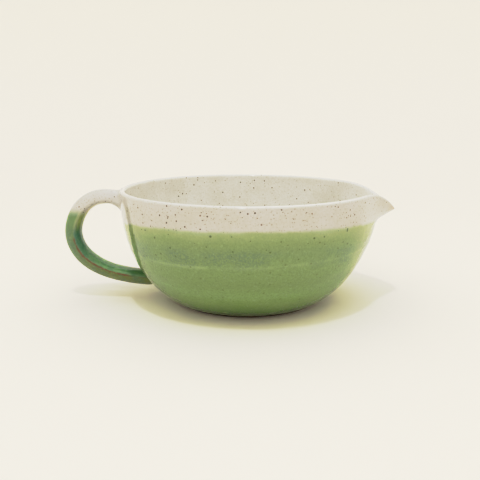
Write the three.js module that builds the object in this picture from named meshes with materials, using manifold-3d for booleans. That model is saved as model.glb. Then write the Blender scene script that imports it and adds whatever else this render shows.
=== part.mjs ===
// A hand-thrown stoneware mixing bowl with a pulled strap handle and a pouring lip.
// Millimetres, +Z up. The origin is under the middle of the whole object, on the
// surface that it stands on. The pouring lip points along +X and the handle along -X.

import * as THREE from "three";
import { mergeVertices } from "three/addons/utils/BufferGeometryUtils.js";
import Module from "manifold-3d";

const wasm = await Module();
wasm.setup();

// ---- Driving dimensions ----

const RIM_RADIUS = 100;
const RIM_HEIGHT = 90.3;
const WALL = 4;
const FLOOR_THICKNESS = 6;
const BELLY_PULL_RADIUS = 101.4;
const BELLY_PULL_HEIGHT = 26.3;
const UPPER_PULL_HEIGHT = 79.3;

const FOOT_HEIGHT = 3.2;
const FOOT_TOP_RADIUS = 60.6;
const FOOT_STAND_RADIUS = 54.5;
const FOOT_INNER_RADIUS = 45;

const LIP_REACH = 19;
const LIP_DROP = 17;
const LIP_HALF_WIDTH = 61;
const LIP_FOLD_HEIGHT = 65;
const LIP_BULGE = 4.3;
const LIP_BULGE_START = 19;

const STRAP_WIDTH = 18;
const STRAP_REACH = 139.9;
const STRAP_CROWN_HEIGHT = 54;
const STRAP_TOP_THICKNESS = 10.8;
const STRAP_SIDE_THICKNESS = 13.5;
const STRAP_LOW_THICKNESS = 12.6;
const STRAP_RIDGE_SHIFT = 2;

const FIT_GAP = 0.3;
const LATHE_SEGMENTS = 84;
const STRAP_STEPS = 36;
const SECTION_SIDES = 16;

// ---- Solids ----

/** An indexed geometry with shared corners and no slivers, so that it is one closed surface. */
function weld(geometry) {
  const bare = geometry.clone();
  bare.deleteAttribute("normal");
  bare.deleteAttribute("uv");
  const merged = mergeVertices(bare, 1e-4);
  const { array } = merged.index;
  const kept = [];
  for (let i = 0; i < array.length; i += 3) {
    const [a, b, c] = array.slice(i, i + 3);
    if (a !== b && b !== c && c !== a) kept.push(a, b, c);
  }
  merged.setIndex(kept);
  return merged;
}

function toSolid(geometry) {
  return new wasm.Manifold(new wasm.Mesh({
    numProp: 3,
    vertProperties: new Float32Array(geometry.attributes.position.array),
    triVerts: new Uint32Array(geometry.index.array),
  }));
}

function toGeometry(solid) {
  const { vertProperties, triVerts } = solid.getMesh();
  const geometry = new THREE.BufferGeometry();
  geometry.setAttribute("position", new THREE.BufferAttribute(vertProperties, 3));
  geometry.setIndex(new THREE.BufferAttribute(triVerts, 1));
  return geometry;
}

function cutAway(geometry, ...tools) {
  const solid = tools.reduce((rest, tool) => rest.subtract(toSolid(tool)), toSolid(geometry));
  return toGeometry(solid);
}

/** Turns a profile of (radius, height) points about the vertical axis. */
function turn(profile) {
  const lathe = new THREE.LatheGeometry(profile, LATHE_SEGMENTS);
  lathe.rotateX(Math.PI / 2);
  return weld(lathe);
}

/** Skins a row of rings, each with the same number of points, and closes both ends. */
function loft(rings) {
  const sides = rings[0].length;
  const points = rings.flat();
  const index = [];
  for (let row = 0; row < rings.length - 1; row += 1) {
    for (let i = 0; i < sides; i += 1) {
      const a = row * sides + i;
      const b = row * sides + ((i + 1) % sides);
      index.push(a, b, b + sides, a, b + sides, a + sides);
    }
  }
  const last = (rings.length - 1) * sides;
  for (let i = 1; i < sides - 1; i += 1) {
    index.push(0, i + 1, i, last, last + i, last + i + 1);
  }
  const geometry = new THREE.BufferGeometry().setFromPoints(points);
  geometry.setIndex(index);
  return geometry;
}

// ---- Bowl ----

/** The wall's outside, from the top of the foot up to where the rounded rim starts. */
function addOuterWall(path, grow = 0) {
  path.bezierCurveTo(
    BELLY_PULL_RADIUS + grow, BELLY_PULL_HEIGHT,
    RIM_RADIUS + grow, UPPER_PULL_HEIGHT,
    RIM_RADIUS + grow, RIM_HEIGHT - WALL / 2,
  );
}

function bowlProfile() {
  const innerRadius = RIM_RADIUS - WALL;
  const rimShoulder = RIM_HEIGHT - WALL / 2;
  const floor = FOOT_HEIGHT + FLOOR_THICKNESS;
  const path = new THREE.Path();
  path.moveTo(0, FOOT_HEIGHT);
  path.lineTo(FOOT_TOP_RADIUS, FOOT_HEIGHT);
  addOuterWall(path);
  path.absarc(RIM_RADIUS - WALL / 2, rimShoulder, WALL / 2, 0, Math.PI, false);
  path.bezierCurveTo(innerRadius, 68, innerRadius - 1, floor + 2, 40, floor);
  path.lineTo(0, floor);
  return path.getPoints(9);
}

/** A smooth step from 0 at or below `from` to 1 at or above `to`. */
function ease(value, from, to) {
  return THREE.MathUtils.smoothstep(value, from, to);
}

/** Draws columns of the wall together on the +X side, where the pouring lip needs them. */
function crowdTowardsLip(point) {
  const azimuth = Math.atan2(point.y, point.x);
  const turned = azimuth - 0.55 * Math.sin(azimuth);
  const radius = Math.hypot(point.x, point.y);
  point.set(radius * Math.cos(turned), radius * Math.sin(turned), point.z);
}

/** Pulls the top of the wall out and down at +X: a trough that ends in a rounded beak. The
 *  drop is narrower than the reach, so the trough has shoulders before it falls to its tip. */
function pullLip(point) {
  if (point.x <= 0) return;
  const side = Math.min(Math.abs(point.y) / LIP_HALF_WIDTH, 1);
  const crest = Math.cos((side * Math.PI) / 2);
  const fold = Math.max(0, (point.z - LIP_FOLD_HEIGHT) / (RIM_HEIGHT - LIP_FOLD_HEIGHT));
  const bulge = LIP_BULGE * ease(point.z, LIP_BULGE_START, LIP_FOLD_HEIGHT);
  point.x += crest ** 4 * (bulge + fold * (LIP_REACH - LIP_BULGE));
  point.z -= crest ** 6 * fold * LIP_DROP;
}

function makeBowl() {
  const geometry = turn(bowlProfile());
  const position = geometry.attributes.position;
  const point = new THREE.Vector3();
  for (let i = 0; i < position.count; i += 1) {
    point.fromBufferAttribute(position, i);
    crowdTowardsLip(point);
    pullLip(point);
    position.setXYZ(i, point.x, point.y, point.z);
  }
  return geometry;
}

/** The bowl's outside as a filled body, a little larger all over, to trim what leans on it. */
function makeBowlEnvelope() {
  const path = new THREE.Path();
  path.moveTo(0, 0);
  path.lineTo(FOOT_TOP_RADIUS + FIT_GAP, 0);
  path.lineTo(FOOT_TOP_RADIUS + FIT_GAP, FOOT_HEIGHT - FIT_GAP);
  addOuterWall(path, FIT_GAP);
  path.lineTo(RIM_RADIUS + FIT_GAP, RIM_HEIGHT + 10);
  path.lineTo(0, RIM_HEIGHT + 10);
  const geometry = turn(path.getPoints(9));
  const position = geometry.attributes.position;
  const point = new THREE.Vector3();
  for (let i = 0; i < position.count; i += 1) {
    point.fromBufferAttribute(position, i);
    crowdTowardsLip(point);
    position.setXYZ(i, point.x, point.y, point.z);
  }
  return geometry;
}

/** The unglazed ring that the bowl stands on, with a flat tread and a trimmed outer bevel. */
function makeFoot() {
  const path = new THREE.Path();
  path.moveTo(FOOT_INNER_RADIUS, 0);
  path.lineTo(FOOT_STAND_RADIUS, 0);
  path.quadraticCurveTo(FOOT_STAND_RADIUS + 3.5, 1, FOOT_TOP_RADIUS, FOOT_HEIGHT);
  path.lineTo(FOOT_INNER_RADIUS - 1, FOOT_HEIGHT);
  path.lineTo(FOOT_INNER_RADIUS, 0);
  return turn(path.getPoints(4));
}

// ---- Handle ----

/** The strap's centreline: up and over from the rim, then down and back in to the wall. */
function strapRoute() {
  const crown = new THREE.Vector3(-STRAP_REACH, 0, STRAP_CROWN_HEIGHT);
  const route = new THREE.CurvePath();
  route.add(new THREE.CubicBezierCurve3(
    new THREE.Vector3(-97, 0, 79.6),
    new THREE.Vector3(-128.5, 0, 92.2),
    new THREE.Vector3(-STRAP_REACH, 0, 65.5),
    crown,
  ));
  route.add(new THREE.CubicBezierCurve3(
    crown,
    new THREE.Vector3(-STRAP_REACH, 0, 29.3),
    new THREE.Vector3(-111, 0, 15.6),
    new THREE.Vector3(-68, 0, 16),
  ));
  return route;
}

/** A pulled strap: a lens-shaped section with a soft ridge along each side, set a little inward. */
function makeStrap(grow = 0) {
  const route = strapRoute();
  const across = new THREE.Vector3(0, 1, 0);
  const rings = [];
  for (let step = 0; step <= STRAP_STEPS; step += 1) {
    const along = step / STRAP_STEPS;
    const centre = route.getPointAt(along);
    const inward = new THREE.Vector3().crossVectors(route.getTangentAt(along), across);
    const upper = THREE.MathUtils.lerp(
      STRAP_TOP_THICKNESS, STRAP_SIDE_THICKNESS, ease(along, 0, 0.4));
    const thickness = THREE.MathUtils.lerp(upper, STRAP_LOW_THICKNESS, ease(along, 0.55, 0.75));
    const ring = [];
    for (let i = 0; i < SECTION_SIDES; i += 1) {
      const angle = (2 * Math.PI * i) / SECTION_SIDES;
      const rise = Math.sign(Math.sin(angle)) * Math.abs(Math.sin(angle)) ** 1.3;
      const shift = STRAP_RIDGE_SHIFT * Math.cos(angle) ** 2;
      ring.push(centre.clone()
        .addScaledVector(across, (STRAP_WIDTH / 2 + grow) * Math.cos(angle))
        .addScaledVector(inward, (thickness / 2 + grow) * rise + shift));
    }
    rings.push(ring);
  }
  return loft(rings);
}

/**
 * Clay worked into the corner between strap and wall: rings from the tip in to the wall, each
 * with its own width, top and bottom, which flare towards the wall. `lean` tilts the rings
 * to follow a sloping wall.
 */
function makeFillet({ wallX, tipX, halfWidth, top, bottom, lean }) {
  const steps = 6;
  const rings = [];
  for (let step = 0; step <= steps; step += 1) {
    const near = step / steps;
    const flare = near ** 2;
    const high = THREE.MathUtils.lerp(top.tip, top.wall, flare);
    const low = THREE.MathUtils.lerp(bottom.tip, bottom.wall, flare);
    const wide = THREE.MathUtils.lerp(halfWidth.tip, halfWidth.wall, flare);
    const x = THREE.MathUtils.lerp(tipX, wallX, near);
    const ring = [];
    for (let i = 0; i < SECTION_SIDES; i += 1) {
      const angle = (2 * Math.PI * i) / SECTION_SIDES;
      const rise = ((high - low) / 2) * Math.sin(angle);
      ring.push(new THREE.Vector3(
        x - lean * rise, wide * Math.cos(angle), (high + low) / 2 + rise));
    }
    rings.push(ring);
  }
  return loft(rings);
}

// ---- Assembly ----

const glazedBowl = new THREE.MeshStandardMaterial({ color: 0x8a9c62, roughness: 0.18, metalness: 0 });
const glazedStrap = new THREE.MeshStandardMaterial({ color: 0x4e7a45, roughness: 0.12, metalness: 0 });
const whiteGlaze = new THREE.MeshStandardMaterial({ color: 0xd5d0bf, roughness: 0.18, metalness: 0 });
const bareClay = new THREE.MeshStandardMaterial({ color: 0x6e5b45, roughness: 0.85, metalness: 0 });

function named(name, geometry, material) {
  const mesh = new THREE.Mesh(geometry, material);
  mesh.name = name;
  return mesh;
}

const envelope = makeBowlEnvelope();
const strapRoom = makeStrap(FIT_GAP);

const upperFillet = makeFillet({
  wallX: -98,
  tipX: -114,
  halfWidth: { wall: 17, tip: 8.6 },
  top: { wall: 83, tip: 83 },
  bottom: { wall: 65, tip: 78.5 },
  lean: 0,
});
const lowerFillet = makeFillet({
  wallX: -74,
  tipX: -92,
  halfWidth: { wall: 15, tip: 8.4 },
  top: { wall: 31, tip: 22 },
  bottom: { wall: 3.5, tip: 9.5 },
  lean: 0.85,
});

const bowl = new THREE.Group();
bowl.add(
  named("bowl_body", makeBowl(), glazedBowl),
  named("foot_ring", makeFoot(), bareClay),
  named("handle_strap", cutAway(makeStrap(), envelope), glazedStrap),
  named("upper_joint_coil", cutAway(upperFillet, envelope, strapRoom), whiteGlaze),
  named("lower_joint_coil", cutAway(lowerFillet, envelope, strapRoom), glazedStrap),
);

// The bowl is built about its own axis; the origin belongs under the middle of the whole.
const extent = new THREE.Box3().setFromObject(bowl);
bowl.position.x = -(extent.min.x + extent.max.x) / 2;

const mixingBowl = new THREE.Group();
mixingBowl.add(bowl);

export default mixingBowl;
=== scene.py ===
import math

import bpy
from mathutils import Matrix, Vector, noise


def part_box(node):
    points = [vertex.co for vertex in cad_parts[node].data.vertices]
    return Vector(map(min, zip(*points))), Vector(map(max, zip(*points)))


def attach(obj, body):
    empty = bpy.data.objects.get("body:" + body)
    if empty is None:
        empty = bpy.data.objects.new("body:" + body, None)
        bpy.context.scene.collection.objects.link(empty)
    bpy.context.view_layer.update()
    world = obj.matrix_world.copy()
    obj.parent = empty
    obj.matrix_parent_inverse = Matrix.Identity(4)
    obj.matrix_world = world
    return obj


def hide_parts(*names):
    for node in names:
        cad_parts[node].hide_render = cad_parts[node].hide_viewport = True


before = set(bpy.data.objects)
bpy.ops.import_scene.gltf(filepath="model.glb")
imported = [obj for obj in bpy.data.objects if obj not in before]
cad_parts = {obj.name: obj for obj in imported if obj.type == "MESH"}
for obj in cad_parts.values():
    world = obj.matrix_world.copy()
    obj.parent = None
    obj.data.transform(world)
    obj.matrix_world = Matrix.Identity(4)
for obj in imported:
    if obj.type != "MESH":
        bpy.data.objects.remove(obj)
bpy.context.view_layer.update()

# ---- Sizes: metres, worked out from the frame ----

BODY = "root"
MM = 0.001

_, BOWL_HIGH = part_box("bowl_body")
FOOT_LOW, FOOT_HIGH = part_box("foot_ring")
STRAP_LOW, STRAP_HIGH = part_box("handle_strap")

AXIS_X = (FOOT_LOW[0] + FOOT_HIGH[0]) / 2
RIM_HEIGHT = BOWL_HIGH[2]
RIM_RADIUS = 100 * MM
WALL = 4 * MM
SHOULDER_HEIGHT = RIM_HEIGHT - WALL / 2
BOWL_COLUMNS = 264
COLUMN_CROWDING = 0.45          # how far the columns crowd towards the lip, where the shape is finest

FOOT_HEIGHT = FOOT_HIGH[2]
FOOT_TOP_RADIUS = FOOT_HIGH[1]
FOOT_STAND_RADIUS = 54.5 * MM
FOOT_INNER_RADIUS = 45 * MM
FOOT_COLUMNS = 192
FLOOR_HEIGHT = FOOT_HEIGHT + 6 * MM
FLOOR_RADIUS = 40 * MM

LIP_REACH = 19 * MM
LIP_DROP = 17 * MM
LIP_HALF_WIDTH = 61 * MM
LIP_FOLD = 65 * MM
LIP_FOLD_SOFTNESS = 3.0 * MM
LIP_BULGE = 4.3 * MM
LIP_BULGE_START = 19 * MM
TIP_FROM = RIM_RADIUS + 6 * MM
TIP_FULL = RIM_RADIUS + 18 * MM

# The potter's marks: rings all the way up the wall, and one sharper ridge.
THROWN_FROM = 62 * MM           # the radius where the potter's unevenness begins
THROWN_FULL = 70 * MM           # the radius from which it is at its full depth
RING_SPACING = 9.5 * MM
RING_DEPTH = 0.10 * MM
MARK_HEIGHT = 47.6 * MM
MARK_SLANT = 2.4 * MM
MARK_WIDTH = 1.2 * MM
MARK_DEPTH = 0.16 * MM
WALL_INSET = 0.45 * MM          # keeps the rings and the unevenness inside the CAD's box
WALL_UNEVENNESS = 0.2 * MM
RIM_WAVER = 0.6 * MM

STRAP_WIDTH = STRAP_HIGH[1] - STRAP_LOW[1]
STRAP_TOP_THICKNESS = 10.8 * MM
STRAP_SIDE_THICKNESS = 13.5 * MM
STRAP_LOW_THICKNESS = 12.6 * MM
STRAP_RIDGE_SHIFT = 2 * MM
STRAP_CROWN_X = STRAP_LOW[0] - AXIS_X + STRAP_SIDE_THICKNESS / 2
STRAP_SIDES = 48
STRAP_STEPS = 150
STRAP_START = 0.085             # shares of the route between which the strap is free of its roots
STRAP_END = 0.915
STRAP_UNEVENNESS = 0.22 * MM
ROUTE_STEPS = 300

GLAZE_LINE = 65.4 * MM
GLAZE_TILT = -0.08
STRAP_GLAZE_LINE = 70.5 * MM
GREEN_SPAN = 72 * MM            # the drop over which the green runs through all its stages
GLAZE_IOR = 1.58


# ---- Small mathematics ----

def mix(start, end, share):
    return start + (end - start) * share


def ease(value, low, high):
    """A smooth step from 0 at or below low to 1 at or above high."""
    share = min(max((value - low) / (high - low), 0), 1)
    return share * share * (3 - 2 * share)


def bezier(start, start_pull, end_pull, end, steps):
    """Points along a cubic curve, its first point included and its last one left out."""
    points = []
    for step in range(steps):
        t = step / steps
        u = 1 - t
        weights = (u * u * u, 3 * u * u * t, 3 * u * t * t, t * t * t)
        controls = list(zip(weights, (start, start_pull, end_pull, end)))
        points.append(tuple(sum(weight * point[axis] for weight, point in controls) for axis in range(2)))
    return points


def arc(centre, radius, start, end, steps):
    """Points along a circle's arc, in degrees, its last point left out."""
    points = []
    for step in range(steps):
        angle = math.radians(mix(start, end, step / steps))
        points.append((centre[0] + radius * math.cos(angle), centre[1] + radius * math.sin(angle)))
    return points


def line(start, end, steps):
    """Even points along a straight line, its last point left out."""
    return [(mix(start[0], end[0], step / steps), mix(start[1], end[1], step / steps))
            for step in range(steps)]


def running_lengths(points):
    """The length of the path up to each of its points."""
    lengths = [0.0]
    for before, after in zip(points, points[1:]):
        lengths.append(lengths[-1] + math.dist(before, after))
    return lengths


def find_along(lengths, goal):
    """The index of the stretch that holds a length along a path, and the share of it that is passed."""
    end = next((index for index, length in enumerate(lengths) if length >= goal), len(lengths) - 1)
    end = max(end, 1)
    return end, (goal - lengths[end - 1]) / (lengths[end] - lengths[end - 1])


def hermite(start, leave, end, arrive, share):
    """A point on the smooth curve that leaves start along one vector and arrives at end along another."""
    square, cube = share ** 2, share ** 3
    return (start * (2 * cube - 3 * square + 1) + leave * (cube - 2 * square + share)
            + end * (-2 * cube + 3 * square) + arrive * (cube - square))


def wobble(x, y, z, size, seed):
    """Smooth noise from about -1 to 1, with features of the given size."""
    return noise.noise(Vector((x / size + seed, y / size - seed, z / size + 2 * seed)))


def ring_wobble(angle, rise, size, seed):
    """Smooth noise round a ring, which closes on itself and changes as rise grows."""
    return wobble(math.cos(angle), math.sin(angle), rise, size, seed)


# ---- Mesh code ----

def skin(name, rings, values, material, closed_ends=True):
    """A mesh skinned over closed rings of points. values holds a table for each named vertex value."""
    sides = len(rings[0])
    vertices = [point for ring in rings for point in ring]
    faces = []
    for row in range(len(rings) - 1):
        for side in range(sides):
            corner = row * sides + side
            beside = row * sides + (side + 1) % sides
            faces.append((corner, beside, beside + sides, corner + sides))
    if closed_ends:
        faces.append(tuple(range(sides))[::-1])
        faces.append(tuple(range((len(rings) - 1) * sides, len(rings) * sides)))
    mesh = bpy.data.meshes.new(name)
    mesh.from_pydata(vertices, [], faces)
    for key, table in values.items():
        attribute = mesh.attributes.new(key, "FLOAT", "POINT")
        attribute.data.foreach_set("value", [value for ring in table for value in ring])
    mesh.shade_smooth()
    mesh.validate()
    mesh.materials.append(material)
    piece = bpy.data.objects.new(name, mesh)
    bpy.context.scene.collection.objects.link(piece)
    return piece


# ---- Bowl shape ----

def outer_wall(steps):
    """The outside of the wall as (radius, height), from foot to shoulder, as the CAD has it."""
    belly = (RIM_RADIUS + 1.4 * MM, 26.3 * MM)
    upright = (RIM_RADIUS, 79.3 * MM)
    return bezier((FOOT_TOP_RADIUS, FOOT_HEIGHT), belly, upright, (RIM_RADIUS, SHOULDER_HEIGHT), steps)


def bowl_profile():
    """(radius, height, outside, edge) from the underside's middle over the rim to the floor's middle.

    outside is 1 on the wall's outer side and 0 inside, and edge is 1 along the crest of the rim, where a
    painted highlight goes.
    """
    inner = RIM_RADIUS - WALL
    middle = 1.5 * MM
    roll = 0.5 * MM
    roll_height = FOOT_HEIGHT + roll - 0.1 * MM
    under = line((middle, FOOT_HEIGHT), (FOOT_TOP_RADIUS - 2 * MM, FOOT_HEIGHT), 16)
    glaze_roll = arc((FOOT_TOP_RADIUS - roll, roll_height), roll, -100, -20, 6)
    outside = outer_wall(104)[1:]
    rim = arc((RIM_RADIUS - WALL / 2, SHOULDER_HEIGHT), WALL / 2, 0, 180, 18)
    inside = bezier((inner, SHOULDER_HEIGHT), (inner, 68 * MM), (inner - 1 * MM, FLOOR_HEIGHT + 2 * MM),
                    (FLOOR_RADIUS, FLOOR_HEIGHT), 84)
    floor = line((FLOOR_RADIUS, FLOOR_HEIGHT), (middle, FLOOR_HEIGHT), 18)
    profile = [(radius, height, 0.0, 0.0) for radius, height in under]
    profile += [(radius, height, 1.0, 0.0) for radius, height in glaze_roll + outside]
    for index, (radius, height) in enumerate(rim):
        share = index / len(rim)
        profile.append((radius, height, 1.0 - share, math.sin(math.pi * share)))
    profile += [(radius, height, 0.0, 0.0) for radius, height in inside + floor]
    return profile


def pull_lip(x, y, z):
    """Pulls the top of the wall out and down at +X into the lip, as the CAD does, with a soft fold."""
    if x <= 0:
        return x, z
    side = min(abs(y) / LIP_HALF_WIDTH, 1)
    crest = math.cos(side * math.pi / 2)
    over = z - LIP_FOLD
    if abs(over) < LIP_FOLD_SOFTNESS:
        over = (over + LIP_FOLD_SOFTNESS) ** 2 / (4 * LIP_FOLD_SOFTNESS)
    fold = max(0, over) / (RIM_HEIGHT - LIP_FOLD)
    bulge = LIP_BULGE * ease(z, LIP_BULGE_START, LIP_FOLD)
    out = crest ** 4 * (bulge + fold * (LIP_REACH - LIP_BULGE))
    down = crest ** 6 * fold * LIP_DROP
    return x + out, z - down


def finger_mark(z, angle):
    """1 along the one sharp ridge that a finger left round the wall, 0 away from it."""
    level = MARK_HEIGHT + MARK_SLANT * math.cos(angle)
    return math.exp(-((z - level) / MARK_WIDTH) ** 2)


def throwing_rings(z, angle):
    """How far the potter's fingers left the wall proud, which climbs one turn for each ridge."""
    climb = z / RING_SPACING - angle / (2 * math.pi)
    ridge = 0.5 + 0.5 * math.cos(2 * math.pi * climb)
    return RING_DEPTH * ridge ** 2 + MARK_DEPTH * finger_mark(z, angle)


def thrown_radius(radius, height, outside, angle):
    """The radius with the throwing rings and a little unevenness, which fade out towards the middle."""
    if radius <= THROWN_FROM:
        return radius
    fade = ease(radius, THROWN_FROM, THROWN_FULL)
    side = 1 if outside > 0.5 else -0.6
    radius += side * fade * throwing_rings(height, angle) - fade * WALL_INSET
    return radius + fade * WALL_UNEVENNESS * ring_wobble(angle, height / 0.1, size=0.9, seed=3.1)


def wavered_height(height, angle):
    """The height with the slow waver of a hand-cut rim, which fades out down the wall."""
    fade = ease(height, 60 * MM, RIM_HEIGHT)
    dip = 0.5 - 0.5 * ring_wobble(angle, 0, size=0.8, seed=7.7)
    return height - fade * RIM_WAVER * dip


def make_bowl(material):
    even_angles = [2 * math.pi * column / BOWL_COLUMNS for column in range(BOWL_COLUMNS)]
    angles = [even - COLUMN_CROWDING * math.sin(even) for even in even_angles]
    # A painted highlight lies along the rim's crest: strongest along the front and the back, and a little
    # weaker at the lip and the handle.
    rim_highlight_strength = [0.85 + 0.15 * math.cos(2 * even + math.pi) for even in even_angles]
    rings = []
    values = {"outside": [], "edge": [], "tip": [], "mark": []}
    for radius, height, outside, edge in bowl_profile():
        ring, tips, marks = [], [], []
        for angle in angles:
            thrown = thrown_radius(radius, height, outside, angle)
            y = thrown * math.sin(angle)
            x, z = pull_lip(thrown * math.cos(angle), y, wavered_height(height, angle))
            ring.append((AXIS_X + x, y, z))
            tips.append(ease(x, TIP_FROM, TIP_FULL))
            # mark places the finger ridge's painted highlight.
            marks.append(finger_mark(height, angle) * ease(outside, 0.5, 1))
        rings.append(ring)
        values["outside"].append([outside] * BOWL_COLUMNS)
        values["edge"].append([edge * pale for pale in rim_highlight_strength])
        values["tip"].append(tips)
        values["mark"].append(marks)
    bowl = skin("bowl_shell", rings, values, material)
    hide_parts("bowl_body")
    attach(bowl, BODY)


# ---- Foot shape ----

def foot_profile():
    """(radius, height) round the ring's section: inner edge, tread, outer bevel and hidden top."""
    inner_round = 0.8 * MM
    outer_round = 0.5 * MM
    inner_corner = FOOT_INNER_RADIUS + inner_round
    outer_corner = FOOT_STAND_RADIUS - outer_round
    top = FOOT_HEIGHT - 0.05 * MM
    top_edge = (FOOT_TOP_RADIUS - 0.5 * MM, top)
    profile = arc((inner_corner, inner_round), inner_round, 180, 270, 5)
    profile += line((inner_corner, 0), (outer_corner, 0), 8)
    profile += arc((outer_corner, outer_round), outer_round, 270, 350, 4)
    profile += bezier((FOOT_STAND_RADIUS, outer_round), (FOOT_STAND_RADIUS + 1.5 * MM, 0.8 * MM),
                      (FOOT_STAND_RADIUS + 3.5 * MM, 1.2 * MM), top_edge, 12)
    inner_side = [(FOOT_INNER_RADIUS - 1 * MM, top), (FOOT_INNER_RADIUS, inner_round + 0.01 * MM)]
    return profile + [top_edge] + inner_side


def make_foot(material):
    rub_depth = 0.12 * MM
    rings = []
    for radius, height in foot_profile():
        ring = []
        for column in range(FOOT_COLUMNS):
            angle = 2 * math.pi * column / FOOT_COLUMNS
            rubbed = radius + rub_depth * ring_wobble(angle, height / 0.01, size=0.35, seed=1.3)
            ring.append((AXIS_X + rubbed * math.cos(angle), rubbed * math.sin(angle), height))
        rings.append(ring)
    rings.append(rings[0])
    foot = skin("foot_turned", rings, {}, material, closed_ends=False)
    weld = foot.modifiers.new("weld", "WELD")
    weld.merge_threshold = 0.001 * MM
    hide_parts("foot_ring")
    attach(foot, BODY)


# ---- Handle shape ----

def strap_route():
    """The strap's centreline, as the CAD has it: (x, z) about the bowl's axis, and running lengths."""
    top_root = (-97 * MM, 79.6 * MM)
    crown = (STRAP_CROWN_X, 54 * MM)
    low_root = (-68 * MM, 16 * MM)
    points = bezier(top_root, (-128.5 * MM, 92.2 * MM), (STRAP_CROWN_X, 65.5 * MM), crown, ROUTE_STEPS)
    points += bezier(crown, (STRAP_CROWN_X, 29.3 * MM), (-111 * MM, 15.6 * MM), low_root, ROUTE_STEPS)
    points.append(low_root)
    return points, running_lengths(points)


def route_at(route, share):
    """The point and the direction at a share of the route's length."""
    points, lengths = route
    either_way = 4
    end, part = find_along(lengths, share * lengths[-1])
    point = [mix(points[end - 1][axis], points[end][axis], part) for axis in range(2)]
    before = points[max(end - either_way, 0)]
    after = points[min(end + either_way, len(points) - 1)]
    direction = Vector((after[0] - before[0], after[1] - before[1])).normalized()
    return point, direction


def strap_ring(route, share):
    """One section of the strap: a lens with a soft ridge along each side."""
    lens_power = 1.3
    (x, z), (dx, dz) = route_at(route, share)
    thickness = mix(STRAP_TOP_THICKNESS, STRAP_SIDE_THICKNESS, ease(share, 0, 0.4))
    thickness = mix(thickness, STRAP_LOW_THICKNESS, ease(share, 0.55, 0.75))
    ring = []
    for side in range(STRAP_SIDES):
        angle = 2 * math.pi * side / STRAP_SIDES
        rise = math.copysign(abs(math.sin(angle)) ** lens_power, math.sin(angle))
        across = STRAP_WIDTH / 2 * math.cos(angle)
        inward = thickness / 2 * rise + STRAP_RIDGE_SHIFT * math.cos(angle) ** 2
        ring.append(Vector((AXIS_X + x - dz * inward, across, z + dx * inward)))
    return ring


def wall_point(y, along, profile, lengths):
    """The point and outward normal on the back of the wall, at a distance along its profile."""
    end, part = find_along(lengths, along)
    before, after = profile[end - 1], profile[end]
    radius = mix(before[0], after[0], part)
    height = mix(before[1], after[1], part)
    out, up = after[0] - before[0], after[1] - before[1]
    slope = math.hypot(out, up)
    x = -math.sqrt(radius * radius - y * y)
    normal = Vector((x / radius * up / slope, y / radius * up / slope, -out / slope))
    return Vector((AXIS_X + x, y, height)), normal


def make_root(ring, direction, centre_height, half_width, reach_up, reach_down, steps):
    """Rings that flare from the strap's section on to the wall, meeting it smoothly."""
    sink = 0.12 * MM
    nudge = 0.4 * MM
    leave_pull = 1.1
    rim = arc((RIM_RADIUS - WALL / 2, SHOULDER_HEIGHT), WALL / 2, 0, 90, 12)
    profile = outer_wall(120) + rim
    lengths = running_lengths(profile)
    middle = next(length for point, length in zip(profile, lengths) if point[1] >= centre_height)
    rings = [[] for _ in range(steps)]
    top = max(range(STRAP_SIDES), key=lambda side: ring[side].z)
    turn = -1 if ring[(top + 1) % STRAP_SIDES].y < ring[top].y else 1
    for side, start in enumerate(ring):
        angle = math.pi / 2 - turn * 2 * math.pi * (side - top) / STRAP_SIDES
        wide = half_width * math.cos(angle)
        reach = reach_up if math.sin(angle) > 0 else reach_down
        high = middle + reach * math.sin(angle)
        landing, normal = wall_point(wide, high, profile, lengths)
        beyond, _ = wall_point(wide + nudge * math.cos(angle), high + nudge * math.sin(angle),
                               profile, lengths)
        arrive = (beyond - landing).normalized()
        landing = landing - normal * sink
        span = (landing - start).length
        for step in range(1, steps + 1):
            point = hermite(start, direction * (span * leave_pull), landing, arrive * span, step / steps)
            rings[step - 1].append(point)
    return rings


def handle_values(ring_count, upper_count, lower_count):
    """The ridge, inner_face and along values of each vertex, row by row from the rim's root down."""
    ridge_sharpness = 20
    values = {"ridge": [], "inner_face": [], "along": []}
    for row in range(ring_count):
        rows_left = ring_count - 1 - row
        free = min(row / upper_count, rows_left / lower_count, 1)
        ridges, faces = [], []
        for side in range(STRAP_SIDES):
            angle = 2 * math.pi * side / STRAP_SIDES
            ridges.append(ease(free, 0.5, 1) * abs(math.cos(angle)) ** ridge_sharpness)
            faces.append(0.5 + 0.5 * math.sin(angle))
        values["ridge"].append(ridges)
        values["inner_face"].append(faces)
        values["along"].append([row / (ring_count - 1)] * STRAP_SIDES)
    return values


def make_handle(material):
    route = strap_route()
    shares = [mix(STRAP_START, STRAP_END, step / STRAP_STEPS) for step in range(STRAP_STEPS + 1)]
    strap = [strap_ring(route, share) for share in shares]
    _, (dx, dz) = route_at(route, STRAP_START)
    upper = make_root(strap[0], Vector((-dx, 0, -dz)), centre_height=77 * MM, half_width=14.5 * MM,
                      reach_up=12.5 * MM, reach_down=10.5 * MM, steps=20)
    _, (dx, dz) = route_at(route, STRAP_END)
    lower = make_root(strap[-1], Vector((dx, 0, dz)), centre_height=16.5 * MM, half_width=12.5 * MM,
                      reach_up=12.5 * MM, reach_down=10.5 * MM, steps=14)
    rings = upper[::-1] + strap + lower
    for ring in rings:
        for point in ring:
            point.x += STRAP_UNEVENNESS * wobble(point.x, point.y, point.z, size=22 * MM, seed=5.0)
            point.z += STRAP_UNEVENNESS * wobble(point.x, point.y, point.z, size=22 * MM, seed=9.0)
    values = handle_values(len(rings), len(upper), len(lower))
    handle = skin("handle_pulled", rings, values, material)
    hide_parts("handle_strap", "upper_joint_coil", "lower_joint_coil")
    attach(handle, BODY)


# ---- Materials ----

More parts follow.
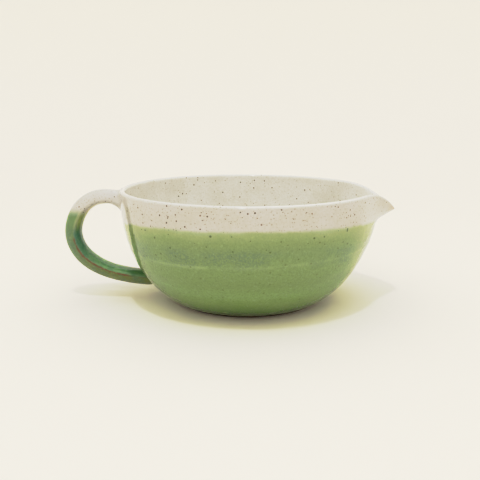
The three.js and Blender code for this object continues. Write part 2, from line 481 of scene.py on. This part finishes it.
class Nodes:
    """A short way to write a material's nodes."""

    def __init__(self, name):
        self.material = bpy.data.materials.new(name)
        self.material.use_nodes = True
        self.tree = self.material.node_tree
        self.shader = self.tree.nodes["Principled BSDF"]
        self.place = self.add("ShaderNodeTexCoord").outputs["Object"]

    def add(self, kind, **settings):
        node = self.tree.nodes.new(kind)
        for key, value in settings.items():
            setattr(node, key, value)
        return node

    def link(self, source, socket):
        """Feeds a socket from another node's output, or sets it to a plain value."""
        if isinstance(source, bpy.types.NodeSocket):
            self.tree.links.new(source, socket)
        else:
            socket.default_value = source

    def value(self, name):
        """A vertex value that skin wrote."""
        return self.add("ShaderNodeAttribute", attribute_name=name).outputs["Fac"]

    def position(self):
        """The x, y and z of the surface, in metres."""
        split = self.add("ShaderNodeSeparateXYZ")
        self.link(self.place, split.inputs[0])
        return split.outputs

    def math(self, operation, *sources):
        node = self.add("ShaderNodeMath", operation=operation)
        for socket, source in zip(node.inputs, sources):
            self.link(source, socket)
        return node.outputs[0]

    def times(self, first, second):
        return self.math("MULTIPLY", first, second)

    def step(self, value, low, high, out_low=0.0, out_high=1.0):
        """A smooth step from out_low at or below low to out_high at or above high."""
        node = self.add("ShaderNodeMapRange", interpolation_type="SMOOTHSTEP")
        for socket, source in zip(node.inputs, (value, low, high, out_low, out_high)):
            self.link(source, socket)
        return node.outputs[0]

    def noise(self, size, detail=3.0, rough=0.5, stretch=None):
        """Noise from 0 to 1 whose features have the given size in metres."""
        place = self.place
        if stretch:
            mapping = self.add("ShaderNodeMapping")
            self.link(place, mapping.inputs["Vector"])
            mapping.inputs["Scale"].default_value = stretch
            place = mapping.outputs[0]
        node = self.add("ShaderNodeTexNoise")
        self.link(place, node.inputs["Vector"])
        node.inputs["Scale"].default_value = 1 / size
        node.inputs["Detail"].default_value = detail
        node.inputs["Roughness"].default_value = rough
        return node.outputs["Fac"]

    def specks(self, spacing, radius, share, seed):
        """Round specks, one in some cells of the given spacing: 1 inside a speck, 0 outside."""
        mapping = self.add("ShaderNodeMapping")
        self.link(self.place, mapping.inputs["Vector"])
        mapping.inputs["Location"].default_value = (seed, 2 * seed, 3 * seed)
        cells = self.add("ShaderNodeTexVoronoi")
        self.link(mapping.outputs[0], cells.inputs["Vector"])
        cells.inputs["Scale"].default_value = 1 / spacing
        split = self.add("ShaderNodeSeparateColor")
        self.link(cells.outputs["Color"], split.inputs[0])
        chosen = self.math("LESS_THAN", split.outputs[0], share)
        smallest = 0.45 * radius
        size = self.step(split.outputs[1], 0.0, 1.0, smallest / spacing, radius / spacing)
        distance = cells.outputs["Distance"]
        inside = self.step(self.math("DIVIDE", distance, size), 0.75, 1.1, 1.0, 0.0)
        return self.times(inside, chosen)

    def blend(self, share, under, over):
        """The under colour, covered with the over colour by the given share."""
        node = self.add("ShaderNodeMix", data_type="RGBA")
        self.link(share, node.inputs["Factor"])
        self.link(under, node.inputs["A"])
        self.link(over, node.inputs["B"])
        return node.outputs["Result"]

    def ramp(self, value, stops):
        """The colour at a value, from (position, colour) stops."""
        node = self.add("ShaderNodeValToRGB")
        self.link(value, node.inputs["Fac"])
        elements = node.color_ramp.elements
        while len(elements) < len(stops):
            elements.new(0.5)
        for element, (position, colour) in zip(elements, stops):
            element.position = position
            element.color = colour
        return node.outputs["Color"]

    def bump(self, height, distance, strength, below=None):
        """The normal of a surface raised by height times distance, on top of the bump below it."""
        node = self.add("ShaderNodeBump")
        node.inputs["Strength"].default_value = strength
        node.inputs["Distance"].default_value = distance
        self.link(height, node.inputs["Height"])
        if below is not None:
            self.link(below, node.inputs["Normal"])
        return node.outputs["Normal"]


def colour(red, green, blue):
    """A linear colour from sRGB values of 0 to 255."""
    channels = []
    for value in (red, green, blue):
        share = value / 255
        channels.append(share / 12.92 if share <= 0.04045 else ((share + 0.055) / 1.055) ** 2.4)
    return (*channels, 1.0)


# The off-white glaze, and the iron that comes through it.
# The inside's white is the same glaze as the outside's, painted lighter to make up for the shade inside
# the bowl.
WHITE_INSIDE_PAINTED_LIGHTER = colour(219, 218, 218)
WHITE_OUTSIDE = colour(190, 188, 192)
WHITE_CLOUD = colour(174, 168, 154)
WHITE_GRAIN = colour(150, 142, 128)
FAINT_IRON = colour(124, 114, 102)
RUST_IRON = colour(112, 90, 72)
DARK_IRON = colour(74, 60, 48)
TIP_TAN = colour(172, 142, 112)
# A painted highlight for the rim's crest.
RIM_PAINTED_HIGHLIGHT = colour(240, 240, 236)

# The wall's green, by its share of GREEN_SPAN below the dip line, and what is scattered in it.
WALL_GREENS = [
    (0.00, colour(158, 172, 148)),
    (0.04, colour(147, 160, 115)),
    (0.12, colour(133, 150, 98)),
    (0.22, colour(126, 147, 97)),
    (0.36, colour(129, 151, 96)),
    (0.55, colour(123, 147, 90)),
    (0.68, colour(128, 157, 94)),
    (0.77, colour(118, 148, 81)),
    # These last two stops grow dark towards the foot: partly a deeper green, partly painted shade.
    (0.84, colour(101, 134, 66)),
    (0.92, colour(66, 98, 36)),
]
GREEN_GRAIN = colour(88, 118, 72)
GREEN_PALE = colour(166, 184, 140)
GREEN_COOL = colour(90, 120, 96)
# A painted highlight for the finger ridge.
MARK_PAINTED_HIGHLIGHT = colour(168, 180, 138)
GREEN_DOT = colour(70, 92, 40)

# The handle: each pair of greens is the upper and the lower half of the strap.
# A painted warm bounce light for the arch's underside, lightened against the shade there.
ARCH_PAINTED_BOUNCE_LIGHT = colour(226, 206, 166)
OUTER_GREENS = (colour(98, 127, 82), colour(107, 120, 63))
OUTER_POOL = colour(76, 112, 86)
INNER_GREENS = (colour(78, 122, 100), colour(108, 156, 100))
INNER_POOL = colour(50, 104, 80)
HANDLE_STREAK = colour(130, 156, 104)
THIN_OUTER = colour(100, 132, 84)
THIN_RIDGE = colour(144, 156, 112)
THIN_INNER = colour(142, 160, 98)
RIDGE_RUST = colour(108, 72, 46)
# Painted shade: a dark green for the strap's inner face where it meets the wall low down.
ROOT_PAINTED_SHADE = colour(44, 92, 48)
WALL_BLEND_GREEN = colour(104, 134, 72)

# The bare clay of the foot.
CLAY_LIGHT = colour(66, 40, 22)
CLAY_DARK = colour(50, 30, 16)
CLAY_GRAIN = colour(98, 70, 44)


def white_glaze(nodes, outside):
    """Off-white glaze over iron-bearing clay: a soft cloud, a fine grain and brown specks, with the
    inside painted lighter than the outside.
    """
    # The lighter white inside is painted light.
    white = nodes.blend(outside, WHITE_INSIDE_PAINTED_LIGHTER, WHITE_OUTSIDE)
    cloud = nodes.step(nodes.noise(24 * MM, detail=4), 0.35, 0.7)
    white = nodes.blend(nodes.times(cloud, 0.22), white, WHITE_CLOUD)
    grain = nodes.step(nodes.noise(1.5 * MM, rough=0.6), 0.35, 0.7)
    white = nodes.blend(nodes.times(grain, 0.16), white, WHITE_GRAIN)

    plenty = nodes.math("MULTIPLY_ADD", outside, 0.44, 0.26)
    faint = nodes.specks(1.7 * MM, 0.55 * MM, share=plenty, seed=0.31)
    white = nodes.blend(nodes.times(faint, 0.45), white, FAINT_IRON)
    rust = nodes.specks(4.6 * MM, 0.7 * MM, share=nodes.times(plenty, 0.7), seed=0.53)
    white = nodes.blend(nodes.times(rust, 0.7), white, RUST_IRON)
    dark = nodes.specks(3.3 * MM, 0.72 * MM, share=plenty, seed=0.17)
    return nodes.blend(nodes.times(dark, 0.85), white, DARK_IRON)


def glaze_mask(nodes, line_height, tilt, softness):
    """1 where green lies over white, with the soft wavy line of a dip, and the depth below the line."""
    _, across, height = nodes.position()
    level = nodes.math("MULTIPLY_ADD", across, tilt, line_height)
    wave = nodes.math("MULTIPLY_ADD", nodes.noise(34 * MM, detail=2), 3.2 * MM, -1.6 * MM)
    ragged = nodes.math("MULTIPLY_ADD", nodes.noise(5 * MM), 1.4 * MM, -0.7 * MM)
    uneven = nodes.math("ADD", wave, ragged)
    depth = nodes.math("SUBTRACT", nodes.math("ADD", level, uneven), height)
    return nodes.step(depth, -softness, softness), depth


def glaze_surface(nodes, roughness, roughness_spread):
    """Glossy glaze: an orange-peel skin, and a gloss that varies a little from place to place."""
    roll = nodes.noise(14 * MM, detail=2)
    peel = nodes.noise(2.2 * MM, detail=2)
    normal = nodes.bump(peel, 0.03 * MM, strength=0.35)
    normal = nodes.bump(roll, 0.25 * MM, strength=0.4, below=normal)
    nodes.link(normal, nodes.shader.inputs["Normal"])
    gloss = nodes.step(nodes.noise(9 * MM), 0.3, 0.75, roughness, roughness + roughness_spread)
    nodes.link(gloss, nodes.shader.inputs["Roughness"])
    nodes.shader.inputs["IOR"].default_value = GLAZE_IOR


def wall_white(nodes, outside):
    """The white of the wall, which breaks to tan at the lip's tip, with a painted highlight along the
    rim's crest.
    """
    white = white_glaze(nodes, outside)
    white = nodes.blend(nodes.times(nodes.value("tip"), 0.55), white, TIP_TAN)
    # A painted highlight along the crest of the rim.
    crest = nodes.math("POWER", nodes.value("edge"), 4.0)
    return nodes.blend(nodes.times(crest, 0.95), white, RIM_PAINTED_HIGHLIGHT)


def wall_green(nodes, depth):
    """The green of the wall, which changes with depth below the dip line and grows dark towards the foot,
    partly as painted shade.
    """
    drift = nodes.noise(22 * MM, stretch=(1, 1, 1.8))
    drift = nodes.math("MULTIPLY_ADD", drift, 6 * MM, -2.5 * MM)
    fall = nodes.math("DIVIDE", nodes.math("ADD", depth, drift), GREEN_SPAN)
    green = nodes.ramp(fall, WALL_GREENS)

    grain = nodes.step(nodes.noise(1.3 * MM, rough=0.65), 0.42, 0.68)
    grain_share = nodes.step(depth, 2 * MM, 16 * MM, 0.12, 0.4)
    green = nodes.blend(nodes.times(grain, grain_share), green, GREEN_GRAIN)
    pale = nodes.step(nodes.noise(1.6 * MM, rough=0.6, stretch=(1, 1, 0.7)), 0.52, 0.75)
    green = nodes.blend(nodes.times(pale, 0.22), green, GREEN_PALE)

    cool_band = nodes.times(nodes.step(fall, 0.16, 0.24), nodes.step(fall, 0.34, 0.40, 1.0, 0.0))
    broad = nodes.step(nodes.noise(30 * MM, detail=2), 0.38, 0.6)
    patch = nodes.step(nodes.noise(1.3 * MM, rough=0.6, stretch=(1, 1, 1.3)), 0.4, 0.6)
    cool = nodes.times(cool_band, nodes.times(broad, patch))
    green = nodes.blend(nodes.times(cool, 0.6), green, GREEN_COOL)

    # A painted highlight along the finger ridge, stronger in some places than others.
    mark_highlight_share = nodes.step(nodes.noise(18 * MM, detail=2), 0.3, 0.7, 0.05, 0.4)
    green = nodes.blend(nodes.times(nodes.value("mark"), mark_highlight_share), green, MARK_PAINTED_HIGHLIGHT)
    dot_plenty = nodes.step(depth, 8 * MM, 30 * MM, 0.6, 0.4)
    dots = nodes.specks(3.6 * MM, 0.85 * MM, share=dot_plenty, seed=0.71)
    dot_share = nodes.step(depth, 4 * MM, 30 * MM, 0.85, 0.45)
    return nodes.blend(nodes.times(dots, dot_share), green, GREEN_DOT)


def bowl_glaze():
    """White inside and above the dip line, and green below it."""
    nodes = Nodes("bowl_glaze")
    outside = nodes.value("outside")
    mask, depth = glaze_mask(nodes, GLAZE_LINE, GLAZE_TILT, softness=1.5 * MM)
    mask = nodes.times(mask, nodes.math("GREATER_THAN", outside, 0.5))
    glaze = nodes.blend(mask, wall_white(nodes, outside), wall_green(nodes, depth))
    nodes.link(glaze, nodes.shader.inputs["Base Color"])
    glaze_surface(nodes, roughness=0.05, roughness_spread=0.05)
    return nodes.material


def arch_white(nodes, along, face):
    """The white of the handle's arch, with a painted warm bounce light on its underside away from the
    root.
    """
    # The arch's underside gets painted warm bounce light.
    under = nodes.times(nodes.step(face, 0.7, 1.0), nodes.step(along, 0.03, 0.12, 0.0, 0.6))
    return nodes.blend(under, white_glaze(nodes, 1.0), ARCH_PAINTED_BOUNCE_LIGHT)


def handle_green(nodes, along, face, depth):
    """The deep green of the strap: teal where it pools inside, and paler where it is thin."""
    lower = nodes.step(along, 0.45, 0.7)
    pool = nodes.times(nodes.step(nodes.noise(5 * MM, detail=4, rough=0.6), 0.35, 0.68), 0.6)
    outer = nodes.blend(pool, nodes.blend(lower, *OUTER_GREENS), OUTER_POOL)
    inner = nodes.blend(pool, nodes.blend(lower, *INNER_GREENS), INNER_POOL)
    green = nodes.blend(nodes.step(face, 0.42, 0.62), outer, inner)
    streak = nodes.step(nodes.noise(1.5 * MM, rough=0.6), 0.48, 0.75)
    green = nodes.blend(nodes.times(streak, 0.4), green, HANDLE_STREAK)

    thin = nodes.blend(nodes.step(face, 0.35, 0.5), THIN_OUTER, THIN_RIDGE)
    thin = nodes.blend(nodes.step(face, 0.6, 0.85), thin, THIN_INNER)
    return nodes.blend(nodes.step(depth, 6 * MM, 18 * MM), thin, green)


def handle_glaze():
    """White on the arch, then a deep green that breaks to rust on the ridges and joins the wall's."""
    nodes = Nodes("handle_glaze")
    along = nodes.value("along")
    face = nodes.value("inner_face")
    line_height = nodes.step(along, 0.08, 0.3, GLAZE_LINE - 4 * MM, STRAP_GLAZE_LINE)
    mask, depth = glaze_mask(nodes, line_height, tilt=0.0, softness=4.0 * MM)
    green = handle_green(nodes, along, face, depth)

    ripple = nodes.math("MULTIPLY_ADD", nodes.noise(2.8 * MM), 1.3, -0.65)
    worn = nodes.step(nodes.math("ADD", nodes.value("ridge"), ripple), 0.5, 0.95)
    run = nodes.times(nodes.step(along, 0.42, 0.47), nodes.step(along, 0.80, 0.86, 1.0, 0.25))
    green = nodes.blend(nodes.times(worn, run), green, RIDGE_RUST)
    # Painted shade on the inner face near the lower root, where the strap meets the wall.
    root = nodes.times(nodes.step(along, 0.8, 0.86), nodes.step(face, 0.3, 0.55))
    green = nodes.blend(nodes.times(root, 0.6), green, ROOT_PAINTED_SHADE)
    green = nodes.blend(nodes.step(along, 0.95, 1.0, 0.0, 0.8), green, WALL_BLEND_GREEN)

    glaze = nodes.blend(mask, arch_white(nodes, along, face), green)
    nodes.link(glaze, nodes.shader.inputs["Base Color"])
    glaze_surface(nodes, roughness=0.04, roughness_spread=0.05)
    return nodes.material


def bare_clay():
    """Toasted unglazed stoneware: dry, grainy and darker in patches."""
    nodes = Nodes("bare_clay")
    grain = nodes.noise(0.7 * MM, detail=4, rough=0.65)
    patch = nodes.step(nodes.noise(9 * MM), 0.35, 0.7)
    clay = nodes.blend(patch, CLAY_LIGHT, CLAY_DARK)
    clay = nodes.blend(nodes.times(nodes.step(grain, 0.5, 0.7), 0.5), clay, CLAY_GRAIN)
    nodes.link(clay, nodes.shader.inputs["Base Color"])
    nodes.link(nodes.step(grain, 0.3, 0.8, 0.75, 0.95), nodes.shader.inputs["Roughness"])
    nodes.link(nodes.bump(grain, 0.12 * MM, strength=0.7), nodes.shader.inputs["Normal"])
    return nodes.material


# ---- Studio ----

LIGHT_TINT = (1.0, 0.993, 0.92)
AIR_STRENGTH = 0.85
KEY_PLACE = (AXIS_X - 0.096, -0.501, 1.415)
KEY_TARGET = (AXIS_X, 0, 50 * MM)
KEY_SIZE = 0.05
KEY_POWER = 2.34

CAMERA_PLACE = (AXIS_X - 5.68 * MM, -500 * MM, 153.2 * MM)
CAMERA_TILT = 0.209             # radians below level
CAMERA_LENS = 47.4              # millimetres
CAMERA_SENSOR = 36              # millimetres

COVE_RADIUS = 1.5
COVE_BEND = 0.9
COVE_TOP = 1.6
COVE_SIDES = 96
PAPER_LOW = colour(246, 241, 235)
PAPER_HIGH = colour(246, 241, 228)

COMBINED_CURVE = 3              # the index of the curve that acts on red, green and blue alike
TONE_CURVE = [(0, 0), (0.12, 0.165), (0.2, 0.28), (0.28, 0.46), (0.36, 0.61), (0.44, 0.70),
              (0.55, 0.765), (0.7, 0.848), (0.85, 0.912), (1, 0.96)]


def cove_paper():
    nodes = Nodes("studio_cream")
    _, _, height = nodes.position()
    paper = nodes.blend(nodes.step(height, 0.02, 0.5), PAPER_LOW, PAPER_HIGH)
    nodes.link(paper, nodes.shader.inputs["Base Color"])
    nodes.shader.inputs["Roughness"].default_value = 0.9
    nodes.shader.inputs["Specular IOR Level"].default_value = 0.2
    return nodes.material


def make_stage():
    """A pale round cove: a floor that curves up into a wall all round, open at the top."""
    flat = COVE_RADIUS - COVE_BEND
    bend = arc((flat, COVE_BEND), COVE_BEND, -90, 0, 24)
    profile = [(1 * MM, 0.0), (flat / 2, 0.0), (flat, 0.0)]
    profile += bend[1:]
    profile += [(COVE_RADIUS, COVE_BEND), (COVE_RADIUS, COVE_TOP)]
    angles = [2 * math.pi * side / COVE_SIDES for side in range(COVE_SIDES)]
    rings = []
    for radius, height in profile:
        rings.append([(radius * math.cos(angle), radius * math.sin(angle), height) for angle in angles])
    floor = skin("studio_cove", rings, {}, cove_paper(), closed_ends=False)


def make_lights():
    """One small lamp high in front, a little to the handle's side, in soft light from all round."""
    lamp = bpy.data.lights.new("key", "AREA")
    lamp.shape = "DISK"
    lamp.size = KEY_SIZE
    lamp.energy = KEY_POWER
    lamp.color = LIGHT_TINT
    holder = bpy.data.objects.new("key", lamp)
    holder.location = KEY_PLACE
    holder.rotation_euler = (Vector(KEY_TARGET) - Vector(KEY_PLACE)).to_track_quat("-Z", "Y").to_euler()
    bpy.context.scene.collection.objects.link(holder)

    world = bpy.data.worlds.new("studio_air")
    bpy.context.scene.world = world
    world.use_nodes = True
    background = world.node_tree.nodes["Background"]
    background.inputs["Color"].default_value = (*LIGHT_TINT, 1.0)
    background.inputs["Strength"].default_value = AIR_STRENGTH


def make_camera():
    camera = bpy.data.cameras.new("camera")
    camera.lens = CAMERA_LENS
    camera.sensor_width = CAMERA_SENSOR
    camera.clip_start = 0.01
    camera.clip_end = 20
    holder = bpy.data.objects.new("camera", camera)
    holder.location = CAMERA_PLACE
    holder.rotation_euler = (math.pi / 2 - CAMERA_TILT, 0, 0)
    bpy.context.scene.collection.objects.link(holder)
    bpy.context.scene.camera = holder


def set_tone():
    """A print-like tone curve over linear light: lifted middle tones and rolled-off highlights."""
    view = bpy.context.scene.view_settings
    view.view_transform = "Standard"
    view.use_curve_mapping = True
    curve = view.curve_mapping.curves[COMBINED_CURVE]
    for place in TONE_CURVE[1:-1]:
        curve.points.new(*place)
    for point, place in zip(curve.points, TONE_CURVE):
        point.location = place
    view.curve_mapping.update()


# ---- Scene ----

set_tone()
make_camera()
make_stage()
make_lights()
make_bowl(bowl_glaze())
make_foot(bare_clay())
make_handle(handle_glaze())
